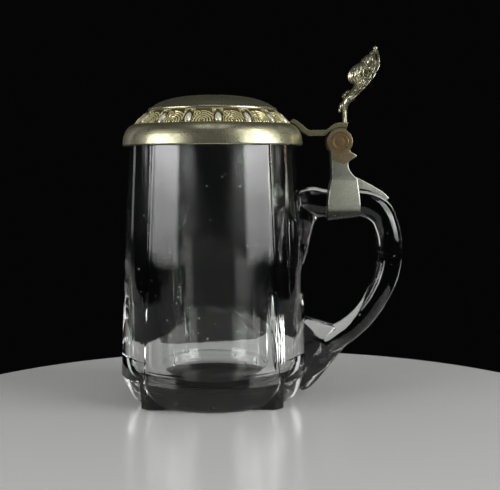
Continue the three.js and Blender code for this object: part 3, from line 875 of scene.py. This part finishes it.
def back_line(height):
    """X of the lift's back at a height."""
    for (low, x_low), (high, x_high) in zip(BACK_STATIONS, BACK_STATIONS[1:]):
        if height <= high:
            return between(x_low, x_high, (height - low) / (high - low))
    return BACK_STATIONS[-1][1]


def fan_plate(in_front, thickness, scale):
    """A plate of the fan, curved like the side view, in front of the back line."""
    steps = FAN_LOBES * FAN_LOBE_STEPS
    outline = [fan_outline(2 * i / steps - 1, scale) for i in range(steps + 1)]
    outline += FAN_FOOT
    rounding = min(0.6, thickness / 2.5)
    bm = prism([(0, y, z) for y, z in outline], (thickness, 0, 0), rounding)
    long_edges = [edge for edge in bm.edges if edge.calc_length() > FAN_MESH_EDGE]
    bmesh.ops.subdivide_edges(bm, edges=long_edges, cuts=3)
    bmesh.ops.triangulate(bm, faces=bm.faces)
    for vert in bm.verts:
        vert.co.x += back_line(vert.co.z) - in_front
    return bm


def fluted(centre, halves, turn, flutes, depth):
    """A bulging shell whose side toward the lid is cut by flutes running up it."""
    bm = ball(centre, halves, turn, detail=192)
    height = halves[2]
    for vert in bm.verts:
        off = vert.co - Vector(centre)
        angle = atan2(off.y, -off.x + 1e-6)
        wave = abs(sin(angle * flutes / 2)) ** 0.5
        share = 1 - depth * (1 - wave) * eased((height - abs(off.z)) / height + 0.3)
        vert.co.x = centre[0] + off.x * share
        vert.co.y = centre[1] + off.y * share
    return bm


def curled_leaf(side):
    """A thin bar that winds in beside the cups. Side is -1 or 1."""
    stations = []
    for i in range(LEAF_POINTS):
        turn = i / (LEAF_POINTS - 1)
        angle = radians(LEAF_START + LEAF_SWEEP * turn)
        reach = LEAF_REACH * (1 - LEAF_WINDING * turn)
        y = side * (LEAF_Y + reach * cos(angle))
        z = LEAF_Z + reach * sin(angle)
        stations.append((LEAF_X - LEAF_LEAN * turn, y, z, LEAF_RADIUS - LEAF_THINNING * turn))
    return tube(stations, sides=4, steps=4)


def lift_shell():
    """Cast thumb lift: stem, fan-shaped back, two fluted cups, beads and curled leaves."""
    stem = tube(STEM_LINE, sides=6)
    for vert in stem.verts:
        vert.co.y *= STEM_WIDENING
    parts = [stem, fan_plate(1.0, 1.0, 1.0), fan_plate(3.2, 1.5, 0.93)]
    parts += [fluted(*cup) for cup in CUPS]
    parts += [ball(*swelling) for swelling in SWELLINGS]
    for side in (-1, 1):
        for x, y, z, size in EDGE_BEADS:
            parts.append(ball((x, side * y, z), (size, size, size * BEAD_FLATNESS)))
        parts.append(curled_leaf(side))
    skin = melted(together(*parts), voxel=0.34, passes=2)
    for vert in skin.verts:
        vert.co.x += CAST_SHIFT
        if vert.co.z > CAST_FROM_Z:
            rough = sum(noise.noise(vert.co * scale) * height for scale, height in CAST_NOISE)
            vert.co += vert.normal * rough
    return skin


# Material helpers


def new_finish(name):
    """A material with its node tree and its shader."""
    finish = bpy.data.materials.new(name)
    finish.use_nodes = True
    tree = finish.node_tree
    return finish, tree, tree.nodes["Principled BSDF"]


def new_group(name, inputs, outputs):
    """An empty shader node group with typed sockets."""
    group = bpy.data.node_groups.new(name, "ShaderNodeTree")
    for side, sockets in (("INPUT", inputs), ("OUTPUT", outputs)):
        for label, kind in sockets:
            group.interface.new_socket(label, in_out=side, socket_type="NodeSocket" + kind)
    return group, group.nodes.new("NodeGroupInput"), group.nodes.new("NodeGroupOutput")


def group_node(tree, group):
    """A node that uses a shared group."""
    node = tree.nodes.new("ShaderNodeGroup")
    node.node_tree = group
    return node


def fill(tree, slot, value):
    """Links a socket to a node's input, or sets the input's value."""
    if isinstance(value, (int, float, tuple)):
        slot.default_value = value
    else:
        tree.links.new(value, slot)


def filled(tree, node, **values):
    """Fills a node's inputs by name."""
    for label, value in values.items():
        fill(tree, node.inputs[label.replace("_", " ")], value)
    return node


def made(tree, kind, output, **values):
    """Adds a node, fills its inputs by name, and gives one of its outputs."""
    return filled(tree, tree.nodes.new(kind), **values).outputs[output]


def maths(tree, operation, *values):
    """A maths node whose operands are numbers or sockets."""
    node = tree.nodes.new("ShaderNodeMath")
    node.operation = operation
    for slot, value in zip(node.inputs, values):
        fill(tree, slot, value)
    return node.outputs[0]


def product(tree, first, second):
    """Two values multiplied."""
    return maths(tree, "MULTIPLY", first, second)


def total(tree, first, second):
    """Two values added."""
    return maths(tree, "ADD", first, second)


def squares(tree, first, second):
    """The sum of two squares."""
    return total(tree, product(tree, first, first), product(tree, second, second))


def spread(tree, value, low, high, to_low=0.0, to_high=1.0):
    """Maps a range of a value to another range, clamped."""
    ranges = {"From_Min": low, "From_Max": high, "To_Min": to_low, "To_Max": to_high}
    return made(tree, "ShaderNodeMapRange", "Result", Value=value, **ranges)


def mixed(tree, share, first, second):
    """A colour mixed by a share from two colours, each three numbers or a socket."""
    node = tree.nodes.new("ShaderNodeMix")
    node.data_type = "RGBA"
    tree.links.new(share, node.inputs["Factor"])
    for slot, value in ((node.inputs[6], first), (node.inputs[7], second)):
        fill(tree, slot, (*value, 1) if isinstance(value, tuple) else value)
    return node.outputs[2]


def split(tree, vector):
    """The X, Y and Z of a vector."""
    node = tree.nodes.new("ShaderNodeSeparateXYZ")
    tree.links.new(vector, node.inputs[0])
    return node.outputs


def cloud(tree, place, scale, detail, roughness=0.55):
    """Soft noise."""
    grain = {"Scale": scale, "Detail": detail, "Roughness": roughness}
    return made(tree, "ShaderNodeTexNoise", "Fac", Vector=place, **grain)


def dots(tree, place, scale, edge, full, patches):
    """Round dots in patches, gone at one distance from their middle and full at another."""
    distance = made(tree, "ShaderNodeTexVoronoi", "Distance", Vector=place, Scale=scale)
    return product(tree, spread(tree, distance, edge, full), patches)


def bumped(tree, height, strength, distance):
    """The normal of a surface with a height on it."""
    sizes = {"Strength": strength, "Distance": distance}
    return made(tree, "ShaderNodeBump", "Normal", Height=height, **sizes)


# Materials

PALE_TAIL_METAL = (0.66, 0.68, 0.58)
SHADED_METAL = (0.035, 0.035, 0.026)
HINGE_BROWN = (0.26, 0.185, 0.09)
DROP_POLISH_AND_HIGHLIGHT_COLOUR = (0.86, 0.85, 0.75)
DEEP_GRIME = (0.075, 0.06, 0.02)
GRIME_AND_HIGHLIGHT_SHINE = 0.4
THIN_GLASS_TINT = (0.965, 0.975, 0.965)
DEEP_GLASS_TINT = (0.93, 0.945, 0.935)

# Tarnish on the neck of the strap: middle of its patch, and how far it reaches
NECK_X, NECK_Z, NECK_SQUASH = 73.2, 140.4, 0.9
NECK_EDGE, NECK_FULL, NECK_RAGGED = 6.2, 5.0, 1.6

# Dulled part of the bore, in metres: a radius that only the bore is within, and heights
DULL_RADIUS_EDGE, DULL_RADIUS = 0.0348, 0.0344
DULL_FROM, DULL_FULL = 0.070, 0.100
BORE_DULLNESS = 0.14


def patina_group():
    """Old pewter: mottled tone, dark recesses, rubbed edges, fine pits and faint turning marks."""
    inputs = [("Bright", "Color"), ("Dark", "Color"), ("Marks", "Float")]
    outputs = [("Color", "Color"), ("Roughness", "Float"), ("Normal", "Vector")]
    tree, given, out = new_group("old_pewter_patina", inputs, outputs)
    place = made(tree, "ShaderNodeTexCoord", "Object")
    mottle = cloud(tree, place, scale=95, detail=5, roughness=0.6)
    grain = cloud(tree, place, scale=1500, detail=3, roughness=0.6)
    patches = spread(tree, cloud(tree, place, scale=160, detail=2), 0.52, 0.6)
    pits = dots(tree, place, 420, 0.24, 0.10, patches)

    # Turning marks run round the axis, so they change only with radius and height.
    x, y, z = split(tree, place)
    radius = maths(tree, "SQRT", squares(tree, x, y))
    round_axis = made(tree, "ShaderNodeCombineXYZ", "Vector", X=radius, Z=z)
    turned = cloud(tree, round_axis, scale=1600, detail=2, roughness=0.7)

    # Tone is 0 for the bright colour and 1 for the dark one.
    pointed = made(tree, "ShaderNodeNewGeometry", "Pointiness")
    recess = spread(tree, pointed, 0.5, 0.44)
    rubbed = spread(tree, pointed, 0.51, 0.58)
    tone = spread(tree, mottle, 0.32, 0.68, 0.0, 0.55)
    tone = maths(tree, "MAXIMUM", tone, product(tree, recess, 0.85))
    tone = maths(tree, "MAXIMUM", tone, product(tree, pits, 0.7))
    tone = maths(tree, "SUBTRACT", tone, product(tree, rubbed, 0.45))
    tone = total(tree, tone, spread(tree, grain, 0.35, 0.65, -0.06, 0.06))
    tone = spread(tree, tone, 0, 1)
    colour = mixed(tree, tone, given.outputs["Bright"], given.outputs["Dark"])
    dull = spread(tree, tone, 0, 1, 0.23, 0.56)
    rough = total(tree, dull, spread(tree, grain, 0.3, 0.7, -0.04, 0.05))

    marks = product(tree, product(tree, turned, given.outputs["Marks"]), 1.2)
    height = total(tree, product(tree, grain, 0.35), marks)
    height = maths(tree, "SUBTRACT", height, product(tree, pits, 1.5))
    normal = bumped(tree, height, 0.5, 0.00006)
    filled(tree, out, Color=colour, Roughness=rough, Normal=normal)
    return tree


def tarnish_and_shade_group():
    """Where the strap is tarnished at the hinge, darkened by painted shade under the collar, and
    paler on its tail.
    """
    outputs = [("Mask", "Float"), ("Shade", "Float"), ("Rubbed", "Float")]
    tree, _, out = new_group("hinge_tarnish_and_shade", [], outputs)
    place = made(tree, "ShaderNodeTexCoord", "Object")
    across, _, up = split(tree, place)

    def reach(x, z, squash):
        """Distance from a place given in millimetres, with heights squashed."""
        sideways = maths(tree, "SUBTRACT", across, x * MM)
        upward = product(tree, maths(tree, "SUBTRACT", up, z * MM), squash)
        return maths(tree, "SQRT", squares(tree, sideways, upward))

    face_edge, face_full = (RING_RADIUS + 0.5) * MM, (RING_RADIUS - 0.1) * MM
    face = spread(tree, reach(HINGE_X, HINGE_Z, 1), face_edge, face_full)
    noisy = cloud(tree, place, scale=190, detail=2)
    ragged = spread(tree, noisy, 0.3, 0.7, -NECK_RAGGED * MM, NECK_RAGGED * MM)
    from_neck = total(tree, reach(NECK_X, NECK_Z, NECK_SQUASH), ragged)
    neck = spread(tree, from_neck, NECK_EDGE * MM, NECK_FULL * MM)
    blotch = spread(tree, cloud(tree, place, scale=260, detail=4), 0.3, 0.7, 0.62, 1)
    mask = product(tree, maths(tree, "MAXIMUM", face, neck), blotch)

    # The shade lies under the collar, and more faintly on the neck beside the tail.
    below = spread(tree, up, 0.1105, 0.1065, 0, 0.98)
    beside = spread(tree, across, 0.0845, 0.081)
    above = product(tree, spread(tree, up, 0.123, 0.127, 0, 0.4), beside)
    shade = maths(tree, "MAXIMUM", below, above)
    filled(tree, out, Mask=mask, Shade=shade, Rubbed=spread(tree, across, 0.0842, 0.0862))
    return tree


PATINA = patina_group()
TARNISH_AND_SHADE = tarnish_and_shade_group()


def pewter(name, bright, dark, marks, metallic=0.92, tarnished_and_shaded=False, grime=None):
    """A pewter finish with its own tones and turning marks, tarnish and painted shade on the strap,
    or grime with painted highlights on its drops.
    """
    finish, tree, shader = new_finish(name)
    shader.inputs["Metallic"].default_value = metallic
    surface = group_node(tree, PATINA)
    filled(tree, surface, Bright=(*bright, 1), Dark=(*dark, 1), Marks=marks)
    colour = surface.outputs["Color"]
    if tarnished_and_shaded:
        stains_and_shade = group_node(tree, TARNISH_AND_SHADE)
        # The strap's tail is made paler.
        colour = mixed(tree, stains_and_shade.outputs["Rubbed"], colour, PALE_TAIL_METAL)
        # Painted shade darkens the strap under the collar and, more faintly, on the neck.
        colour = mixed(tree, stains_and_shade.outputs["Shade"], colour, SHADED_METAL)
        colour = mixed(tree, stains_and_shade.outputs["Mask"], colour, HINGE_BROWN)
    if grime:
        attribute = tree.nodes.new("ShaderNodeAttribute")
        attribute.attribute_name = "grime"
        settled = attribute.outputs["Fac"]
        # Below 0 the drops are painted near white with less metallic shine: a painted highlight as
        # well as polish.
        colour = mixed(tree, spread(tree, settled, 0, -0.4), colour, DROP_POLISH_AND_HIGHLIGHT_COLOUR)
        colour = mixed(tree, spread(tree, settled, 0, 0.4), colour, grime)
        colour = mixed(tree, spread(tree, settled, 0.4, 0.85), colour, DEEP_GRIME)
        shine = spread(tree, maths(tree, "ABSOLUTE", settled), 0, 0.5, metallic, GRIME_AND_HIGHLIGHT_SHINE)
        tree.links.new(shine, shader.inputs["Metallic"])
    rough, normal = surface.outputs["Roughness"], surface.outputs["Normal"]
    filled(tree, shader, Base_Color=colour, Roughness=rough, Normal=normal)
    return finish


def clear_glass():
    """Thick old pressed glass: grey tint, slow waves, small seeds and light handling marks."""
    finish, tree, shader = new_finish("old_clear_glass")
    shader.inputs["Transmission Weight"].default_value = 1
    shader.inputs["IOR"].default_value = 1.51
    place = made(tree, "ShaderNodeTexCoord", "Object")
    stretched = made(tree, "ShaderNodeMapping", "Vector", Vector=place, Scale=(1, 1, 0.35))
    waves = cloud(tree, stretched, scale=60, detail=2, roughness=0.4)
    fine = cloud(tree, place, scale=420, detail=2, roughness=0.5)
    marks = cloud(tree, place, scale=35, detail=4, roughness=0.6)
    patches = spread(tree, cloud(tree, place, scale=75, detail=1), 0.56, 0.6)
    seeds = dots(tree, place, 150, 0.09, 0.05, patches)

    x, y, z = split(tree, place)
    within = spread(tree, squares(tree, x, y), DULL_RADIUS_EDGE**2, DULL_RADIUS**2)
    dulled = product(tree, within, spread(tree, z, DULL_FROM, DULL_FULL))
    rough = spread(tree, marks, 0.45, 0.75, 0.012, 0.07)
    rough = total(tree, rough, product(tree, dulled, BORE_DULLNESS))
    rough = total(tree, rough, product(tree, seeds, 0.5))
    tint = mixed(tree, spread(tree, marks, 0.3, 0.7), THIN_GLASS_TINT, DEEP_GLASS_TINT)
    height = total(tree, waves, product(tree, fine, 0.03))
    height = maths(tree, "SUBTRACT", height, product(tree, seeds, 0.6))
    normal = bumped(tree, height, 1.0, 0.00025)
    filled(tree, shader, Base_Color=tint, Roughness=rough, Normal=normal)
    return finish


glass = clear_glass()
lid_metal = pewter(
    "lid_pewter", (0.54, 0.52, 0.36), (0.10, 0.09, 0.045), marks=1.8, grime=(0.62, 0.56, 0.29)
)
arm_metal = pewter(
    "arm_pewter", (0.36, 0.335, 0.20), (0.11, 0.095, 0.05), marks=0.1, metallic=0.75
)
strap_metal = pewter(
    "strap_pewter", (0.60, 0.62, 0.51), (0.21, 0.21, 0.16), 0.1, metallic=0.65, tarnished_and_shaded=True
)
lift_metal = pewter("lift_pewter", (0.56, 0.54, 0.39), (0.075, 0.066, 0.03), marks=0.0)
hinge_metal = pewter(
    "hinge_metal", (0.30, 0.205, 0.10), (0.17, 0.11, 0.055), marks=0.0, metallic=0.7
)

# Pieces

mug_shape = glass_mug()
finished(
    "glass_mug", mug_shape, glass, "mug", "clear_glass", "glass_body", "glass_handle", sharp=40
)
finished("pewter_lid", lid_shell(), lid_metal, "lid", "lid_pewter", "lid", sharp=60)
finished("pewter_arm", arm_shell(), arm_metal, "lid", "lid_pewter", "lid_arm")
lift_shape = lift_shell()
finished("pewter_thumb_lift", lift_shape, lift_metal, "lid", "lift_pewter", "thumb_lift", sharp=80)
finished("pewter_strap", strap_shell(), strap_metal, "mug", "strap_pewter", "handle_strap")
finished("hinge_face_front", cap_shell(-1), hinge_metal, "mug", "hinge_metal", "hinge_cap_front")
finished("hinge_face_rear", cap_shell(1), hinge_metal, "mug", "hinge_metal", "hinge_cap_rear")

pin = frame["nodes"]["hinge_pin"]
pin.data.materials.clear()
pin.data.materials.append(hinge_metal)

# Stage, lamps and camera, in metres

LAMP_FOOT = 0.06
LAMP_END_FADE = 0.02

# Lamps round the stein: azimuth, distance, size, radiance, and whether a low band is brightest
SOFTBOXES = (
    (-62.5, 0.95, (0.76, 0.6), 5.8, True),
    (65, 0.95, (0.82, 1.1), 5.8, True),
    (-128, 0.9, (0.12, 0.8), 0.8, False),
    (128, 0.9, (0.12, 0.8), 0.8, False),
)
SOFTBOX_EDGE = 0.14
TOP_LAMP = {"place": (0, -0.25, 1.05), "turn": (0, 0, 0), "size": (0.5, 0.5), "radiance": 1.1}

SOFT_LIGHT = (0.42, 0.42, 0.42)
BACKDROP = (0.0016, 0.0016, 0.0018)

CAMERA_PLACE = (0.021, -0.58, 0.13166)
CAMERA_TILT = 90 - 4.375
CAMERA_TURN = -0.25


def table_top():
    """A round pale table, a little nearer the camera than the stein."""
    bm = bmesh.new()
    bmesh.ops.create_circle(bm, cap_ends=True, radius=0.2, segments=256)
    bmesh.ops.translate(bm, verts=bm.verts, vec=(0.02, -0.06, 0))
    mesh = mesh_of(bm, "table")
    table = placed("table", mesh)
    surface, _, shader = new_finish("pale_table")
    shader.inputs["Base Color"].default_value = (0.48, 0.48, 0.47, 1)
    shader.inputs["Roughness"].default_value = 0.18
    mesh.materials.append(surface)


def area_lamp(place, turn, size, radiance, edge, bright_band=False):
    """A cloth-fronted lamp that fades over a share of its width at each side."""
    lamp = bpy.data.lights.new("softbox", "AREA")
    lamp.shape = "RECTANGLE"
    lamp.size, lamp.size_y = size
    lamp.energy = radiance * pi * size[0] * size[1]
    lamp.use_nodes = True
    tree = lamp.node_tree
    x, y, _ = split(tree, made(tree, "ShaderNodeNewGeometry", "Parametric"))
    sideways = maths(tree, "PINGPONG", x, 0.5)
    upward = product(tree, maths(tree, "PINGPONG", y, 0.5), size[1])
    strength = spread(tree, sideways, 0, edge)
    strength = product(tree, strength, spread(tree, upward, 0, LAMP_END_FADE))
    if bright_band:
        height = product(tree, y, size[1])
        glow = spread(tree, height, 0, 0.11, 0.5, 0.9)
        glow = total(tree, glow, spread(tree, height, 0.10, 0.17, 0, 0.8))
        glow = maths(tree, "SUBTRACT", glow, spread(tree, height, 0.24, 0.36, 0, 0.9))
        strength = product(tree, strength, glow)
    tree.links.new(strength, tree.nodes["Emission"].inputs["Strength"])
    obj = placed("softbox", lamp)
    obj.location = place
    obj.rotation_euler = turn
    obj.visible_camera = False


def softbox(azimuth, distance, size, radiance, bright_band):
    """A tall lamp standing round the stein and aimed at it. Azimuth 0 is the camera's side."""
    angle = radians(azimuth)
    place = (distance * sin(angle), -distance * cos(angle), size[1] / 2 + LAMP_FOOT)
    area_lamp(place, (pi / 2, 0, angle), size, radiance, SOFTBOX_EDGE, bright_band)


def surroundings():
    """A dark backdrop that camera, metal and glass see, and soft even light for the rest."""
    world = bpy.data.worlds.new("studio")
    world.use_nodes = True
    scene.world = world
    tree = world.node_tree
    rays = tree.nodes.new("ShaderNodeLightPath").outputs
    seen = maths(tree, "MAXIMUM", rays["Is Camera Ray"], rays["Is Glossy Ray"])
    seen = maths(tree, "MAXIMUM", seen, rays["Is Transmission Ray"])
    colour = mixed(tree, seen, SOFT_LIGHT, BACKDROP)
    tree.links.new(colour, tree.nodes["Background"].inputs["Color"])


table_top()
for lamp_values in SOFTBOXES:
    softbox(*lamp_values)
area_lamp(**TOP_LAMP, edge=0.2)
surroundings()

lens = bpy.data.cameras.new("camera")
lens.lens = 72.69
lens.clip_start = 0.01
camera = placed("camera", lens)
tilt = Matrix.Rotation(radians(CAMERA_TILT), 4, "X")
aim = tilt @ Matrix.Rotation(radians(CAMERA_TURN), 4, "Z")
camera.matrix_world = Matrix.Translation(CAMERA_PLACE) @ aim
scene.camera = camera
scene.view_settings.view_transform = "Standard"
